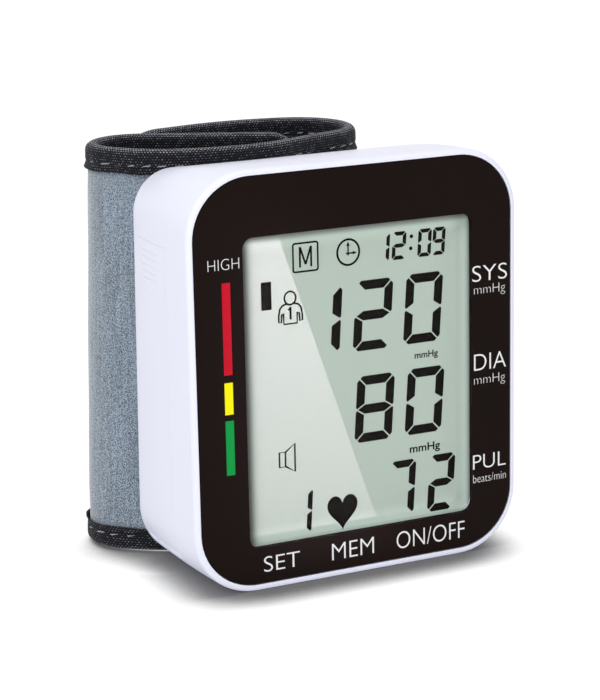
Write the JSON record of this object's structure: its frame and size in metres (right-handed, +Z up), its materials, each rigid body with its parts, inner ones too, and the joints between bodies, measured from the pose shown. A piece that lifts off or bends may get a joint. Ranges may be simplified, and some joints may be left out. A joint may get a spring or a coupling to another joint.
{
  "type": "wrist blood pressure monitor",
  "caption": "Wrist blood pressure monitor: a rounded upright case with a large display in a dark panel, and a springy fabric cuff curled up behind it.",
  "frame": {"origin": "middle of the case's flat underside, halfway between its front and back planes", "axes": "+Z up along the case, -Y out of the display towards the reader, +X to the reader's right; the cuff is behind the case on +Y"},
  "size_m": [0.0693, 0.0555, 0.0767],
  "materials": {
    "case_white": "smooth white plastic with a faint blue tone",
    "panel_black": "smooth black-brown panel with light printing",
    "window_clear": "clear acrylic",
    "display_glass": "grey-green reflective display",
    "frame_grey": "moulded",
    "soft_rubber": "soft, milky",
    "board_green": "solder mask on fibre board",
    "chip_black": "moulded",
    "contact_brass": "satin",
    "metal_steel": "plated",
    "cell_jacket": "printed jacket, plain",
    "shell_grey": "springy sheet",
    "hook_black": "hook tape",
    "cuff_fabric": "blue-grey heather loop fabric",
    "cuff_lining": "dark soft cloth",
    "cuff_tape": "black twill tape with a light running stitch"
  },
  "bodies": {
    "main": {"front_case": "case_white", "rear_case": "case_white", "front_panel": "panel_black", "display_window": "window_clear", "display_glass": "display_glass", "display_frame": "frame_grey", "elastomer_strip": "soft_rubber", "main_board": "board_green", "controller_chip": "chip_black", "pressure_sensor": "chip_black", "speaker_disc": "contact_brass", "set_switch": "chip_black", "memory_switch": "chip_black", "power_switch": "chip_black", "pump_motor": "metal_steel", "pump_head": "chip_black", "exhaust_valve": "metal_steel", "branch_piece": "case_white", "pump_tube": "soft_rubber", "sensor_tube": "soft_rubber", "valve_tube": "soft_rubber", "cuff_nozzle": "case_white", "outer_cell": "cell_jacket", "inner_cell": "cell_jacket", "coil_contact_foot": "metal_steel", "coil_contact_top": "metal_steel", "plate_contact_outer": "metal_steel", "plate_contact_inner": "metal_steel", "bridge_contact": "metal_steel", "case_screw_1": "metal_steel", "case_screw_2": "metal_steel", "case_screw_3": "metal_steel", "case_screw_4": "metal_steel", "board_screw_1": "metal_steel", "board_screw_2": "metal_steel", "board_screw_3": "metal_steel", "board_screw_4": "metal_steel", "stud_clip_foot": "metal_steel", "stud_clip_top": "metal_steel", "cuff_shell": "shell_grey", "air_bladder": "soft_rubber", "cuff_fixed_fabric": "cuff_fabric", "cuff_fixed_lining": "cuff_lining", "cuff_fixed_top_binding": "cuff_tape", "cuff_fixed_foot_binding": "cuff_tape"},
    "cover": {"battery_cover": "case_white"},
    "set_button": {"set_key": "case_white"},
    "memory_button": {"memory_key": "case_white"},
    "power_button": {"power_key": "case_white"},
    "cuff_tongue": {"cuff_tongue_fabric": "cuff_fabric", "cuff_tongue_lining": "cuff_lining", "cuff_tongue_binding": "cuff_tape"},
    "cuff_flap_root": {"cuff_flap_root_fabric": "cuff_fabric", "cuff_flap_root_lining": "cuff_lining", "cuff_flap_root_top_binding": "cuff_tape", "cuff_flap_root_foot_binding": "cuff_tape"},
    "cuff_flap": {"cuff_flap_fabric": "cuff_fabric", "cuff_flap_lining": "cuff_lining", "cuff_flap_binding": "cuff_tape", "hook_patch": "hook_black"}
  },
  "joints": [
    {"name": "cover_slide", "type": "slide", "parent": "main", "child": "cover", "axis": [0, 0, -1], "range_m": [0, 0.006]},
    {"name": "set_press", "type": "slide", "parent": "main", "child": "set_button", "axis": [0, 0, 1], "range_m": [0, 0.0007], "stiffness_N_per_m": 1000},
    {"name": "memory_press", "type": "slide", "parent": "main", "child": "memory_button", "axis": [0, 0, 1], "range_m": [0, 0.0007], "stiffness_N_per_m": 1000},
    {"name": "power_press", "type": "slide", "parent": "main", "child": "power_button", "axis": [0, 0, 1], "range_m": [0, 0.0007], "stiffness_N_per_m": 1000},
    {"name": "flap_root_bend", "type": "hinge", "parent": "main", "child": "cuff_flap_root", "pos_m": [0.0184, 0.02129, 0], "axis": [0, 0, -1], "range_deg": [0, 50], "stiffness_Nm_per_rad": 0.02},
    {"name": "flap_bend", "type": "hinge", "parent": "cuff_flap_root", "child": "cuff_flap", "pos_m": [0.01802, 0.03597, 0], "axis": [0, 0, -1], "range_deg": [0, 50], "stiffness_Nm_per_rad": 0.02},
    {"name": "tongue_bend", "type": "hinge", "parent": "main", "child": "cuff_tongue", "pos_m": [-0.03375, 0.03333, 0], "axis": [0, 0, 1], "range_deg": [0, 35], "stiffness_Nm_per_rad": 0.02}
  ],
  "couplings": [
    {"joint": "flap_bend", "follows": "flap_root_bend", "ratio": 1},
    {"joint": "tongue_bend", "follows": "flap_root_bend", "ratio": 0.7}
  ]
}
